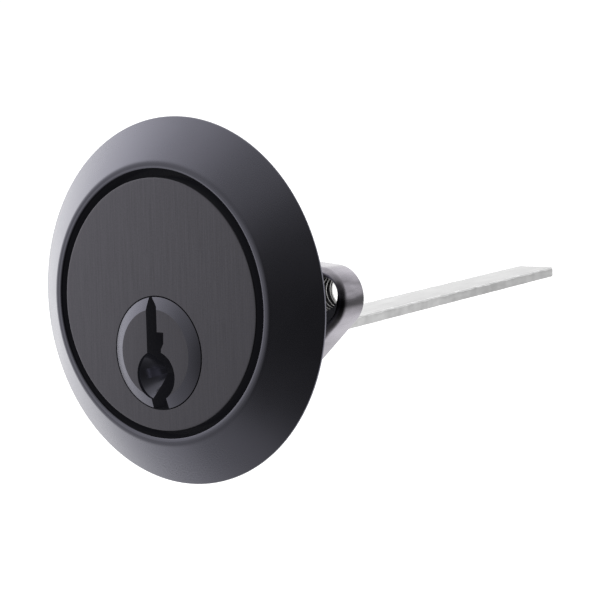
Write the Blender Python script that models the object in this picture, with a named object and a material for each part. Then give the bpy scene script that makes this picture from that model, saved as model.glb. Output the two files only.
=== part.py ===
"""Rim cylinder lock: a pin-tumbler cylinder with a conical rose, a turning plug and a flat tail bar.

Frame: +Y runs along the plug's axis from the keyed face to the tail, +Z is up and +X is to the right
of someone who faces the keyhole. The origin is the centre of the rose's back plane, where the lock
meets the door. Stations along Y are measured in millimetres back from the front face of the head.
"""

import math

import bmesh
import bpy
from mathutils import Matrix, Vector

MM = 0.001

# Driving dimensions, in millimetres.
HEAD_RADIUS = 15.5
HEAD_DEPTH = 2.8
SPIGOT_RADIUS = 14.2
ROSE_RADIUS = 22.75
ROSE_BORE = 16.5
ROSE_BACK = 4.4
SPIGOT_BACK = 4.3
PLUG_DROP = 5.94
PLUG_FLANGE_RADIUS = 6.92
PLUG_FLANGE_DEPTH = 2.0
PLUG_RADIUS = 6.35
PLUG_PROUD = 0.6
PLUG_FLAT_RADIUS = 5.4
PLUG_STUB_RADIUS = 5.2
PLUG_STUB_START = 22.2
BODY_BACK = 24.6
LUG_DEPTH = 4.6
TAIL_WIDTH = 6.4
TAIL_THICKNESS = 1.4
TAIL_LENGTH = 60.6
TAIL_REST_TILT = math.radians(2.65)
TAIL_REST_ROLL = math.radians(0.4)
TAIL_SAG = 0.36
RUNNING_GAP = 0.1
SEAT_GAP = 0.15

# Pin chambers.
PIN_COUNT = 5
FIRST_PIN = 4.9
PIN_PITCH = 3.75
PIN_RADIUS = 1.4
CHAMBER_RADIUS = 1.5
DRIVER_LENGTH = 4.4
KEY_PIN_LENGTHS = (4.2, 3.0, 4.8, 3.6, 2.7)
KEY_PIN_TOP = 6.18
SPOOL_DRIVERS = (2, 4)
DRIVER_REST = PLUG_RADIUS - PLUG_DROP + 0.12
PLUG_CHAMBER_FLOOR = 0.2

# Housing tower and its cover.
TOWER_HALF_WIDTH = 3.7
TOWER_TOP = 11.8
TOWER_BACK = 22.2
COVER_HALF_WIDTH = 2.2
COVER_THICKNESS = 0.8
GROOVE_FLOOR = 10.7
BARREL_RADIUS = 7.9

# Fixing lugs at the back of the housing.
LUG_CENTRE = (9.0, -0.95)
LUG_RADIUS = 4.1
SCREW_HOLE = (10.25, -0.17)
SCREW_HOLE_RADIUS = 2.2
FLANGE_RADIUS = 6.7
FLANGE_CREST = (0.9, 3.0)

# How far solids that are joined reach into each other, and how far cutters reach past what they cut.
JOIN_LAP = 1.0
CUT_LAP = 1.0

# Tail retainer.
RETAINER_RADIUS = 6.0
RETAINER_DEPTH = 1.1
TAIL_PIVOT = 23.95
TAIL_HEAD_WIDTH = 8.4
TAIL_HEAD_DEPTH = 1.1
TAIL_POCKET_DEPTH = 1.5
TAIL_SCREW_OFFSET = 3.4
TAIL_SCREW_HOLE = 0.85
TAIL_SCREW_DEPTH = 2.2
SCREW_SEAT = 0.45
RETAINER_GAP = 0.05
POCKET_PLAY = 0.25

# Facets round a full circle.
FINE = 90
ROUND = 64
SMALL = 20
SHARP_ANGLE = math.radians(35)

PLUG_BACK = BODY_BACK + SEAT_GAP
FACE_Y = -ROSE_BACK
PIN_STATIONS = [FIRST_PIN + i * PIN_PITCH for i in range(PIN_COUNT)]


def point(x, station, z):
    """A place given by x, the station back from the head's face, and z, as a vector in metres."""
    return Vector((x, FACE_Y + station, z)) * MM


def clear_scene():
    for obj in list(bpy.data.objects):
        bpy.data.objects.remove(obj, do_unlink=True)


def material(name, colour, roughness, metallic):
    made = bpy.data.materials.new(name)
    made.use_nodes = True
    shader = made.node_tree.nodes["Principled BSDF"]
    shader.inputs["Base Color"].default_value = (*colour, 1.0)
    shader.inputs["Roughness"].default_value = roughness
    shader.inputs["Metallic"].default_value = metallic
    return made


def arc(centre, radius, start, end, steps):
    """Points on an arc, from start to end degrees, both included."""
    angles = [math.radians(start + (end - start) * i / steps) for i in range(steps + 1)]
    return [(centre[0] + radius * math.cos(a), centre[1] + radius * math.sin(a)) for a in angles]


def add_object(name, bm, origin=None, finish=None):
    """Turns a bmesh given in world metres into an object whose origin is at the given point."""
    bmesh.ops.recalc_face_normals(bm, faces=bm.faces)
    place = origin if origin is not None else point(0, 0, 0)
    bmesh.ops.translate(bm, verts=bm.verts, vec=-place)
    mesh = bpy.data.meshes.new(name)
    bm.to_mesh(mesh)
    bm.free()
    mesh.shade_smooth()
    mesh.set_sharp_from_angle(angle=SHARP_ANGLE)
    obj = bpy.data.objects.new(name, mesh)
    obj.location = place
    bpy.context.scene.collection.objects.link(obj)
    if finish is not None:
        mesh.materials.append(finish)
    return obj


def turned(name, profile, x=0.0, z=0.0, facets=ROUND, **kwargs):
    """Turns a closed (radius, station) outline about the line through x, z that runs along Y."""
    bm = bmesh.new()
    ring = [bm.verts.new(point(x + r, s, z)) for r, s in profile]
    edges = [bm.edges.new((a, b)) for a, b in zip(ring, ring[1:] + ring[:1])]
    bmesh.ops.spin(bm, geom=ring + edges, cent=point(x, 0, z), axis=(0, 1, 0),
                   angle=2 * math.pi, steps=facets, use_merge=True)
    bmesh.ops.remove_doubles(bm, verts=bm.verts, dist=1e-6)
    return add_object(name, bm, **kwargs)


def upright(name, profile, station, facets=SMALL, **kwargs):
    """Turns a closed (radius, z) outline about the vertical line through x = 0 at a station."""
    bm = bmesh.new()
    ring = [bm.verts.new(point(r, station, z)) for r, z in profile]
    edges = [bm.edges.new((a, b)) for a, b in zip(ring, ring[1:] + ring[:1])]
    bmesh.ops.spin(bm, geom=ring + edges, cent=point(0, station, 0), axis=(0, 0, 1),
                   angle=2 * math.pi, steps=facets, use_merge=True)
    bmesh.ops.remove_doubles(bm, verts=bm.verts, dist=1e-6)
    return add_object(name, bm, **kwargs)


def extruded(name, outline, front, back, **kwargs):
    """A prism along Y with an (x, z) outline, between two stations."""
    bm = bmesh.new()
    face = bm.faces.new([bm.verts.new(point(x, front, z)) for x, z in outline])
    moved = bmesh.ops.extrude_face_region(bm, geom=[face])["geom"]
    verts = [v for v in moved if isinstance(v, bmesh.types.BMVert)]
    bmesh.ops.translate(bm, verts=verts, vec=(0, (back - front) * MM, 0))
    return add_object(name, bm, **kwargs)


def block(name, x, stations, z, **kwargs):
    """A box between two x, two stations and two z."""
    outline = [(x[0], z[0]), (x[1], z[0]), (x[1], z[1]), (x[0], z[1])]
    return extruded(name, outline, stations[0], stations[1], **kwargs)


def as_cutter(obj):
    obj.hide_render = True
    obj.display_type = "WIRE"
    return obj


def boolean(target, tool, operation):
    """Joins a helper to the target or cuts it out, and hides the helper."""
    as_cutter(tool)
    modifier = target.modifiers.new(f"{operation.lower()}_{tool.name}", "BOOLEAN")
    modifier.operation = operation
    modifier.solver = "EXACT"
    modifier.object = tool


def hull_outline(circles, steps=10):
    """The convex outline round several (x, z, radius) circles, as a counter-clockwise list of points."""
    dots = [p for x, z, r in circles for p in arc((x, z), r, 0, 360 - 360 / (4 * steps), 4 * steps - 1)]
    dots = sorted(set((round(x, 4), round(z, 4)) for x, z in dots))

    def half(ordered):
        chain = []
        for p in ordered:
            while len(chain) > 1:
                (ax, az), (bx, bz) = chain[-2], chain[-1]
                if (bx - ax) * (p[1] - az) - (bz - az) * (p[0] - ax) > 1e-6:
                    break
                chain.pop()
            chain.append(p)
        return chain[:-1]

    return half(dots) + half(dots[::-1])


def make_rose(finish):
    """The conical ring that covers the hole in the door, hollow behind, with a ledge for the head."""
    lip = Vector((17.05, 0.2))
    lip_round = 0.8
    rim = Vector((ROSE_RADIUS, 4.15))
    slope = 36
    rim_land = 0.9
    roof = 3.2
    roof_radius = 20.1
    hub_radius = 18.4
    ledge = HEAD_DEPTH + SEAT_GAP
    outer = [(ROSE_BORE, lip.y + 0.2), (ROSE_BORE + 0.2, lip.y)]
    outer += arc((lip.x, lip.y + lip_round), lip_round, -90, slope - 90, 4)
    outer += [tuple(rim), (ROSE_RADIUS, ROSE_BACK), (ROSE_RADIUS - rim_land, ROSE_BACK)]
    hollow = [(roof_radius, roof), (hub_radius, roof), (hub_radius, ROSE_BACK)]
    seat = [(SPIGOT_RADIUS + 0.3, ROSE_BACK), (SPIGOT_RADIUS + 0.3, ledge), (ROSE_BORE, ledge)]
    return turned("rose", outer + hollow + seat, facets=FINE, finish=finish)


def make_housing(finish):
    """The one-piece cylinder body: round head, core with its pin tower, and a rear flange with two lugs."""
    head = [(0, 0), (HEAD_RADIUS - 0.2, 0), (HEAD_RADIUS, 0.2), (HEAD_RADIUS, HEAD_DEPTH),
            (SPIGOT_RADIUS, HEAD_DEPTH), (SPIGOT_RADIUS, SPIGOT_BACK), (0, SPIGOT_BACK)]
    housing = turned("cylinder_body", head, facets=FINE, finish=finish)
    corner = 1.7
    feet = 1.0
    top_x = TOWER_HALF_WIDTH - corner
    foot_x = TOWER_HALF_WIDTH - feet
    tower = hull_outline([(-top_x, TOWER_TOP - corner, corner), (top_x, TOWER_TOP - corner, corner),
                          (-foot_x, -PLUG_DROP, feet), (foot_x, -PLUG_DROP, feet)])
    boolean(housing, extruded("tower_solid", tower, HEAD_DEPTH - JOIN_LAP, TOWER_BACK), "UNION")
    barrel = arc((0, -PLUG_DROP), BARREL_RADIUS, 0, 360 - 360 / ROUND, ROUND - 1)
    barrel_front = HEAD_DEPTH - 0.8 * JOIN_LAP
    barrel_back = BODY_BACK - LUG_DEPTH + 0.25 * JOIN_LAP
    boolean(housing, extruded("barrel_solid", barrel, barrel_front, barrel_back), "UNION")
    x, z = LUG_CENTRE
    ears = hull_outline([(x, z, LUG_RADIUS), (-x, z, LUG_RADIUS), (0, -PLUG_DROP, FLANGE_RADIUS),
                         (0, *FLANGE_CREST)])
    boolean(housing, extruded("lug_solid", ears, BODY_BACK - LUG_DEPTH, BODY_BACK), "UNION")
    shoulder = PLUG_FLANGE_DEPTH + SEAT_GAP
    step = PLUG_STUB_START + SEAT_GAP
    before = -CUT_LAP
    behind = BODY_BACK + CUT_LAP
    bore = [(0, before), (PLUG_FLANGE_RADIUS + RUNNING_GAP, before), (PLUG_FLANGE_RADIUS + RUNNING_GAP, shoulder),
            (PLUG_RADIUS + RUNNING_GAP, shoulder), (PLUG_RADIUS + RUNNING_GAP, step),
            (PLUG_STUB_RADIUS + RUNNING_GAP, step), (PLUG_STUB_RADIUS + RUNNING_GAP, behind), (0, behind)]
    boolean(housing, turned("bore_cut", bore, z=-PLUG_DROP), "DIFFERENCE")
    groove_x = COVER_HALF_WIDTH + RUNNING_GAP
    boolean(housing, block("cover_groove_cut", (-groove_x, groove_x), (SPIGOT_BACK, TOWER_BACK + CUT_LAP),
                           (GROOVE_FLOOR, TOWER_TOP + CUT_LAP)), "DIFFERENCE")
    for number, station in enumerate(PIN_STATIONS, start=1):
        low = -1.5
        high = GROOVE_FLOOR + 0.5
        chamber = [(0, low), (CHAMBER_RADIUS, low), (CHAMBER_RADIUS, high), (0, high)]
        boolean(housing, upright(f"housing_chamber_cut_{number}", chamber, station), "DIFFERENCE")
    for side, sign in (("right", 1), ("left", -1)):
        front = BODY_BACK - LUG_DEPTH - CUT_LAP
        hole = [(0, front), (SCREW_HOLE_RADIUS, front), (SCREW_HOLE_RADIUS, behind), (0, behind)]
        cut = turned(f"screw_hole_cut_{side}", hole, x=sign * SCREW_HOLE[0], z=SCREW_HOLE[1], facets=24)
        boolean(housing, cut, "DIFFERENCE")
    return housing


def keyway_outline():
    """The keyhole's section about the plug's axis: a narrow slot with a ward step that widens it to the right."""
    slot_top = 5.2
    foot = -PLUG_RADIUS - 2.0
    right = [(0.4, slot_top), (0.4, 2.7), (1.45, 2.7), (1.45, 1.6), (1.05, 0.6), (1.17, 0.0), (1.6, -2.8),
             (1.6, foot)]
    left = [(-0.95, foot), (-0.95, -2.8), (-1.3, 0.0), (-1.3, slot_top)]
    return right, left


def make_plug(finish):
    """The turning core, with its keyway, thumb pocket, pin chambers and the pocket for the tail's head."""
    profile = [(0, -PLUG_PROUD), (PLUG_FLAT_RADIUS, -PLUG_PROUD), (PLUG_FLANGE_RADIUS, 0),
               (PLUG_FLANGE_RADIUS, PLUG_FLANGE_DEPTH), (PLUG_RADIUS, PLUG_FLANGE_DEPTH),
               (PLUG_RADIUS, PLUG_STUB_START), (PLUG_STUB_RADIUS, PLUG_STUB_START),
               (PLUG_STUB_RADIUS, PLUG_BACK), (0, PLUG_BACK)]
    plug = turned("plug", profile, z=-PLUG_DROP, finish=finish, origin=point(0, 0, -PLUG_DROP))
    right, left = keyway_outline()
    keyway_end = PIN_STATIONS[-1] + CHAMBER_RADIUS + 0.1
    section = [(x, z - PLUG_DROP) for x, z in right + left]
    boolean(plug, extruded("keyway_cut", section, -2.0, keyway_end), "DIFFERENCE")
    mouth = [(left[-1][0], 4.0), (right[0][0], 4.0), (right[0][0], 5.4), (0.03, 6.05), (-0.68, 6.75),
             (-0.95, 7.3), (-1.2, 7.3), (left[-1][0], 5.0)]
    section = [(x, z - PLUG_DROP) for x, z in mouth]
    boolean(plug, extruded("keyway_mouth_cut", section, -2.0, PLUG_FLANGE_DEPTH - 0.4), "DIFFERENCE")
    pocket_radius = 3.05
    pocket_centre = (0.02, -PLUG_DROP - 2.75)
    pocket_rim = -PLUG_PROUD + 0.5
    pocket = [(0, -2.0), (pocket_radius, -2.0), (pocket_radius, pocket_rim), (0.9, pocket_rim + 2.4),
              (0, pocket_rim + 2.6)]
    cut = turned("thumb_pocket_cut", pocket, x=pocket_centre[0], z=pocket_centre[1], facets=32)
    boolean(plug, cut, "DIFFERENCE")
    for number, station in enumerate(PIN_STATIONS, start=1):
        chamber = [(0, PLUG_CHAMBER_FLOOR - PLUG_DROP), (CHAMBER_RADIUS, PLUG_CHAMBER_FLOOR + 1.0 - PLUG_DROP),
                   (CHAMBER_RADIUS, 3.0), (0, 3.0)]
        boolean(plug, upright(f"plug_chamber_cut_{number}", chamber, station), "DIFFERENCE")
    pocket_x = TAIL_HEAD_WIDTH / 2 + POCKET_PLAY
    pocket_z = 1.4
    behind = PLUG_BACK + CUT_LAP
    boolean(plug, block("tail_pocket_cut", (-pocket_x, pocket_x), (PLUG_BACK - TAIL_POCKET_DEPTH, behind),
                        (-PLUG_DROP - pocket_z, -PLUG_DROP + pocket_z)), "DIFFERENCE")
    for place, sign in (("upper", 1), ("lower", -1)):
        deep = PLUG_BACK - TAIL_SCREW_DEPTH
        hole = [(0, deep), (TAIL_SCREW_HOLE, deep), (TAIL_SCREW_HOLE, behind), (0, behind)]
        cut = turned(f"plug_screw_cut_{place}", hole, z=-PLUG_DROP + sign * TAIL_SCREW_OFFSET, facets=SMALL)
        boolean(plug, cut, "DIFFERENCE")
    return plug


def make_key_pin(number, station, length, finish):
    """A bottom pin: flat at the shear line, with a blunt cone that rides on the key's cuts."""
    top = KEY_PIN_TOP - PLUG_DROP
    tip = top - length
    profile = [(0, top), (PIN_RADIUS - 0.15, top), (PIN_RADIUS, top - 0.15), (PIN_RADIUS, tip + 0.8),
               (0.45, tip), (0, tip)]
    return upright(f"key_pin_{number}", profile, station, finish=finish, origin=point(0, station, top))


def make_driver_pin(number, station, finish):
    """A top pin. Two of the five are waisted spools, which bind when the plug is picked."""
    low = DRIVER_REST
    high = low + DRIVER_LENGTH
    edge = 0.15
    profile = [(0, low), (PIN_RADIUS - edge, low), (PIN_RADIUS, low + edge)]
    if number in SPOOL_DRIVERS:
        waist = 0.9
        profile += [(PIN_RADIUS, low + 0.9), (waist, low + 1.0), (waist, high - 1.0), (PIN_RADIUS, high - 0.9)]
    profile += [(PIN_RADIUS, high - edge), (PIN_RADIUS - edge, high), (0, high)]
    return upright(f"driver_pin_{number}", profile, station, finish=finish, origin=point(0, station, low))


def make_pin_spring(number, station, finish):
    """A coil spring from the top of the driver pin to the chamber cover, with closed end turns."""
    wire = 0.15
    coil_radius = 1.15
    low = DRIVER_REST + DRIVER_LENGTH + wire + RUNNING_GAP
    height = GROOVE_FLOOR - wire - low
    turns = 6
    steps = turns * 10
    closed = 1.0 / turns
    pitch_share = 2 * wire * 1.15 / height
    curve = bpy.data.curves.new(f"pin_spring_{number}", "CURVE")
    curve.dimensions = "3D"
    curve.bevel_depth = wire * MM
    curve.bevel_resolution = 0
    curve.use_fill_caps = True
    spline = curve.splines.new("POLY")
    spline.points.add(steps)
    for i, place in enumerate(spline.points):
        share = i / steps
        middle = min(max((share - closed) / (1 - 2 * closed), 0.0), 1.0)
        ends = min(share, closed) / closed + max(share - 1 + closed, 0.0) / closed
        rise = pitch_share * ends + (1 - 2 * pitch_share) * middle
        angle = 2 * math.pi * turns * share
        local = Vector((coil_radius * math.cos(angle), coil_radius * math.sin(angle), rise * height))
        place.co = (*(local * MM), 1.0)
    obj = bpy.data.objects.new(f"pin_spring_{number}", curve)
    obj.location = point(0, station, low)
    curve.materials.append(finish)
    bpy.context.scene.collection.objects.link(obj)
    return obj


def make_cover(finish):
    """The strip that slides into the tower's groove and closes the pin chambers."""
    low = GROOVE_FLOOR + RUNNING_GAP
    return block("chamber_cover", (-COVER_HALF_WIDTH, COVER_HALF_WIDTH), (SPIGOT_BACK + SEAT_GAP, TOWER_BACK),
                 (low, low + COVER_THICKNESS), finish=finish)


def make_retainer(finish):
    """The disc screwed to the back of the plug, which keeps the plug in and the tail bar's head captive."""
    front = PLUG_BACK + RETAINER_GAP
    back = front + RETAINER_DEPTH
    edge = 0.15
    profile = [(0, front), (RETAINER_RADIUS, front), (RETAINER_RADIUS, back - edge),
               (RETAINER_RADIUS - edge, back), (0, back)]
    disc = turned("tail_retainer", profile, z=-PLUG_DROP, finish=finish, origin=point(0, front, -PLUG_DROP))
    slot_x = TAIL_WIDTH / 2 + POCKET_PLAY
    slot_z = 1.3
    before = front - CUT_LAP
    behind = back + CUT_LAP
    boolean(disc, block("tail_slot_cut", (-slot_x, slot_x), (before, behind),
                        (-PLUG_DROP - slot_z, -PLUG_DROP + slot_z)), "DIFFERENCE")
    seat = front + SCREW_SEAT
    shank_hole = 0.9
    head_hole = 1.6
    for place, sign in (("upper", 1), ("lower", -1)):
        hole = [(0, before), (shank_hole, before), (shank_hole, seat), (head_hole, seat), (head_hole, behind),
                (0, behind)]
        cut = turned(f"retainer_screw_cut_{place}", hole, z=-PLUG_DROP + sign * TAIL_SCREW_OFFSET, facets=SMALL)
        boolean(disc, cut, "DIFFERENCE")
    return disc


def make_tail_screw(place, sign, finish):
    """A small slotted cheese-head screw that holds the retainer disc to the plug."""
    z = -PLUG_DROP + sign * TAIL_SCREW_OFFSET
    seat = PLUG_BACK + RETAINER_GAP + SCREW_SEAT + 0.05
    top = seat + 0.75
    tip = PLUG_BACK - TAIL_SCREW_DEPTH + 0.3
    shank = 0.75
    head = 1.4
    edge = 0.15
    slot_depth = 0.35
    slot_half = 0.2
    profile = [(0, tip), (shank - edge, tip), (shank, tip + 0.2), (shank, seat), (head, seat),
               (head, top - edge), (head - edge, top), (0, top)]
    screw = turned(f"tail_screw_{place}", profile, z=z, facets=SMALL, finish=finish, origin=point(0, seat, z))
    boolean(screw, block(f"screw_slot_cut_{place}", (-head - CUT_LAP, head + CUT_LAP),
                         (top - slot_depth, top + CUT_LAP), (z - slot_half, z + slot_half)), "DIFFERENCE")
    return screw


def make_tail_bar(finish):
    """The flat bar that drives the latch, with a T head held in the plug and a sheared end."""
    head_half = TAIL_HEAD_WIDTH / 2
    half = TAIL_WIDTH / 2
    neck = TAIL_HEAD_DEPTH / 2
    corner = 0.5
    outline = [(-head_half, -neck), (head_half, -neck), (head_half, neck), (half, neck),
               (half, TAIL_LENGTH - corner), (half - corner, TAIL_LENGTH), (corner - half, TAIL_LENGTH),
               (-half, TAIL_LENGTH - corner), (-half, neck), (-head_half, neck)]
    bm = bmesh.new()
    face = bm.faces.new([bm.verts.new(Vector((x, y, -TAIL_THICKNESS / 2)) * MM) for x, y in outline])
    moved = bmesh.ops.extrude_face_region(bm, geom=[face])["geom"]
    verts = [v for v in moved if isinstance(v, bmesh.types.BMVert)]
    bmesh.ops.translate(bm, verts=verts, vec=(0, 0, TAIL_THICKNESS * MM))
    tail = add_object("tail_bar", bm, origin=Vector((0, 0, 0)), finish=finish)
    tail.rotation_euler = (TAIL_REST_TILT, TAIL_REST_ROLL, 0)
    tail.location = point(0, TAIL_PIVOT, -PLUG_DROP - TAIL_SAG)
    return tail


def main():
    clear_scene()
    black = material("satin_black", (0.018, 0.018, 0.021), 0.38, 0.6)
    brushed = material("brushed_black", (0.030, 0.029, 0.032), 0.42, 0.8)
    brass = material("brass", (0.62, 0.43, 0.16), 0.32, 1.0)
    nickel = material("nickel_silver", (0.60, 0.57, 0.52), 0.28, 1.0)
    steel = material("spring_steel", (0.55, 0.55, 0.56), 0.35, 1.0)
    zinc = material("zinc_plated", (0.78, 0.78, 0.79), 0.45, 1.0)
    make_rose(black)
    make_housing(brushed)
    make_plug(brushed)
    make_cover(brass)
    for number, (station, length) in enumerate(zip(PIN_STATIONS, KEY_PIN_LENGTHS), start=1):
        make_key_pin(number, station, length, brass)
        make_driver_pin(number, station, nickel)
        make_pin_spring(number, station, steel)
    make_retainer(steel)
    make_tail_screw("upper", 1, steel)
    make_tail_screw("lower", -1, steel)
    make_tail_bar(zinc)


main()
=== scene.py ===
"""Looks of the rim cylinder lock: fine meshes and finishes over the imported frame, soft light and a camera.

Frame: +Y runs from the keyed face to the tail, +Z is up, +X is to the right of someone facing the keyhole,
and the origin is the centre of the rose's back plane. Profiles are written in millimetres as (radius,
station) pairs, where a station is the distance back from the front face of the head.
"""

import math

import bmesh
import bpy
from mathutils import Matrix, Vector


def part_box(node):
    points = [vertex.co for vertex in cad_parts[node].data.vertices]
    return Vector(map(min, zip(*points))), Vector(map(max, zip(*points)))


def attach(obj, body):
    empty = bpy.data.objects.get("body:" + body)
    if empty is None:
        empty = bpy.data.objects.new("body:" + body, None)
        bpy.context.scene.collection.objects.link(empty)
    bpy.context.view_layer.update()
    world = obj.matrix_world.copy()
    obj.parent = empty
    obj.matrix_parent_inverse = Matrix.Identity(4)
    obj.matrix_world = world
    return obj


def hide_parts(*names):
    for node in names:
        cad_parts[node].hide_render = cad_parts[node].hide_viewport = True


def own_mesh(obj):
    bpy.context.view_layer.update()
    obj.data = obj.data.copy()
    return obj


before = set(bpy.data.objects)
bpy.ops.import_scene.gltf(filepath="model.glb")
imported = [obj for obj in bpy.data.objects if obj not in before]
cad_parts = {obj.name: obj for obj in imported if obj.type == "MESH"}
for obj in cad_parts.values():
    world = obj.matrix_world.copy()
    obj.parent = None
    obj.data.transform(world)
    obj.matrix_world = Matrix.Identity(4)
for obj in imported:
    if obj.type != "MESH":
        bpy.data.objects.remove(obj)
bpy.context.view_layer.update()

MM = 0.001
FACE_Y = -4.4
PLUG_DROP = 5.94
HEAD_SHIFT = 0.22
HEAD_RADIUS = 15.5
PLUG_RADIUS = 6.35
PLUG_BORE = 6.45
ROSE_RADIUS = 22.75
ROSE_BACK = -FACE_Y
BODY_BACK = 24.6
LUG_DEPTH = 4.6
LUG_CENTRE = (9.0, -0.95)
LUG_RADIUS = 4.1
FLANGE_RADIUS = 6.7
FLANGE_CREST = (0.9, 3.0)
SCREW_HOLE = (10.2, -0.2)
THREAD_MINOR = 2.13
THREAD_MAJOR = 2.5
THREAD_PITCH = 0.8
TOWER_BACK = 22.2
PLUG_BACK = 24.75
TAIL_PIVOT = 23.95
TAIL_TILT = math.radians(2.65)
TAIL_ROOT_ROLL = math.radians(1.65)
TAIL_TIP_ROLL = math.radians(-0.85)
TAIL_SAG = 0.36
TAIL_LENGTH = 60.6
TAIL_WIDTH = 6.4
TAIL_THICKNESS = 1.4
PIN_COUNT = 5
FIRST_PIN = 4.9
PIN_PITCH = 3.75
CHAMBER_RADIUS = 1.5
SPRING_WIRE = 0.15
SHARP = math.radians(40)
WELD = 1e-7


# ---------------------------------------------------------------- mesh helpers

def place(x, station, z):
    return Vector((x, FACE_Y + station, z)) * MM


def arc(centre, radius, start, end, steps):
    angles = [math.radians(start + (end - start) * i / steps) for i in range(steps + 1)]
    return [(centre[0] + radius * math.cos(a), centre[1] + radius * math.sin(a)) for a in angles]


def to_object(name, bm, material, body, replaced=(), smooth_angle=SHARP):
    bmesh.ops.remove_doubles(bm, verts=bm.verts, dist=WELD)
    bmesh.ops.recalc_face_normals(bm, faces=bm.faces)
    mesh = bpy.data.meshes.new(name)
    bm.to_mesh(mesh)
    bm.free()
    mesh.shade_smooth()
    mesh.set_sharp_from_angle(angle=smooth_angle)
    mesh.materials.append(material)
    obj = bpy.data.objects.new(name, mesh)
    bpy.context.scene.collection.objects.link(obj)
    if body:
        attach(obj, body)
    if replaced:
        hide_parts(*replaced)
    return obj


def lathe(bm, profile, x=0.0, z=0.0, segments=128, closed=False):
    """Turns a (radius, station) profile about the line through x, z along Y."""
    rings = []
    for r, s in profile:
        if r < 1e-6:
            rings.append([bm.verts.new(place(x, s, z))])
            continue
        rings.append([bm.verts.new(place(x + r * math.cos(a), s, z + r * math.sin(a)))
                      for a in (2 * math.pi * i / segments for i in range(segments))])
    pairs = list(zip(rings, rings[1:]))
    if closed:
        pairs.append((rings[-1], rings[0]))
    for near, far in pairs:
        for i in range(segments):
            j = (i + 1) % segments
            quad = [near[i % len(near)], near[j % len(near)], far[j % len(far)], far[i % len(far)]]
            unique = list(dict.fromkeys(quad))
            if len(unique) > 2:
                bm.faces.new(unique)
    return rings


def soft_profile(corners, radii, steps=4):
    """A polyline with each corner rounded by its own radius."""
    out = []
    for i, corner in enumerate(corners):
        r = radii[i]
        if r <= 0 or i == 0 or i == len(corners) - 1:
            out.append(tuple(corner))
            continue
        here = Vector(corner)
        before = (Vector(corners[i - 1]) - here)
        after = (Vector(corners[i + 1]) - here)
        half = before.angle(after) / 2
        reach = min(r / math.tan(half), before.length * 0.49, after.length * 0.49)
        start = here + before.normalized() * reach
        end = here + after.normalized() * reach
        for k in range(steps + 1):
            t = k / steps
            out.append(tuple(start * (1 - t) ** 2 + here * 2 * t * (1 - t) + end * t ** 2))
    return out


def prism(bm, outline, front, back, edge, steps=3, back_edge=None):
    """A prism along Y with an (x, z) outline, its end edges rounded by edge (and back_edge) millimetres."""
    points = [Vector(p) for p in outline]
    count = len(points)
    normals = []
    for i in range(count):
        a = (points[i] - points[i - 1])
        b = (points[(i + 1) % count] - points[i])
        n = Vector((a.y, -a.x)).normalized() + Vector((b.y, -b.x)).normalized()
        n = n / max(n.length_squared / 2, 0.5)
        normals.append(n)
    rear = edge if back_edge is None else back_edge
    turns = [math.pi / 2 * k / steps for k in range(steps + 1)]
    levels = [(front + edge * (1 - math.sin(t)), edge * (1 - math.cos(t))) for t in turns[::-1]]
    levels += [(back - rear * (1 - math.sin(t)), rear * (1 - math.cos(t))) for t in turns]
    rings = [[bm.verts.new(place(p.x - n.x * inset, s, p.y - n.y * inset)) for p, n in zip(points, normals)]
             for s, inset in levels]
    for near, far in zip(rings, rings[1:]):
        for i in range(count):
            j = (i + 1) % count
            bm.faces.new([near[i], near[j], far[j], far[i]])
    bm.faces.new(rings[0][::-1])
    bm.faces.new(rings[-1])
    return rings


def hull(circles, steps=24):
    """The convex outline round several (x, z, radius) circles, counter-clockwise."""
    dots = sorted(set((round(px, 4), round(pz, 4)) for x, z, r in circles
                      for px, pz in arc((x, z), r, 0, 360 - 360 / (4 * steps), 4 * steps - 1)))

    def half(ordered):
        chain = []
        for p in ordered:
            while len(chain) > 1:
                (ax, az), (bx, bz) = chain[-2], chain[-1]
                if (bx - ax) * (p[1] - az) - (bz - az) * (p[0] - ax) > 1e-6:
                    break
                chain.pop()
            chain.append(p)
        return chain[:-1]

    return half(dots) + half(dots[::-1])


def cutter(name, bm, material=None):
    """A helper mesh for a Boolean; the faces it cuts take its material."""
    bmesh.ops.remove_doubles(bm, verts=bm.verts, dist=WELD)
    bmesh.ops.recalc_face_normals(bm, faces=bm.faces)
    mesh = bpy.data.meshes.new(name)
    bm.to_mesh(mesh)
    bm.free()
    if material:
        mesh.materials.append(material)
    obj = bpy.data.objects.new(name, mesh)
    bpy.context.scene.collection.objects.link(obj)
    return obj


def carve(target, tools):
    """Cuts the tools out of the target, applies the cuts and removes the tools."""
    for tool in tools:
        modifier = target.modifiers.new("cut", "BOOLEAN")
        modifier.operation = "DIFFERENCE"
        modifier.solver = "EXACT"
        modifier.material_mode = "TRANSFER"
        modifier.object = tool
    apply_all(target)
    for tool in tools:
        bpy.data.objects.remove(tool, do_unlink=True)
    target.data.shade_smooth()
    target.data.set_sharp_from_angle(angle=SHARP)


def apply_all(obj):
    graph = bpy.context.evaluated_depsgraph_get()
    made = bpy.data.meshes.new_from_object(obj.evaluated_get(graph), depsgraph=graph)
    old = obj.data
    obj.modifiers.clear()
    obj.data = made
    bpy.data.meshes.remove(old)


# ---------------------------------------------------------------- material helpers

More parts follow.
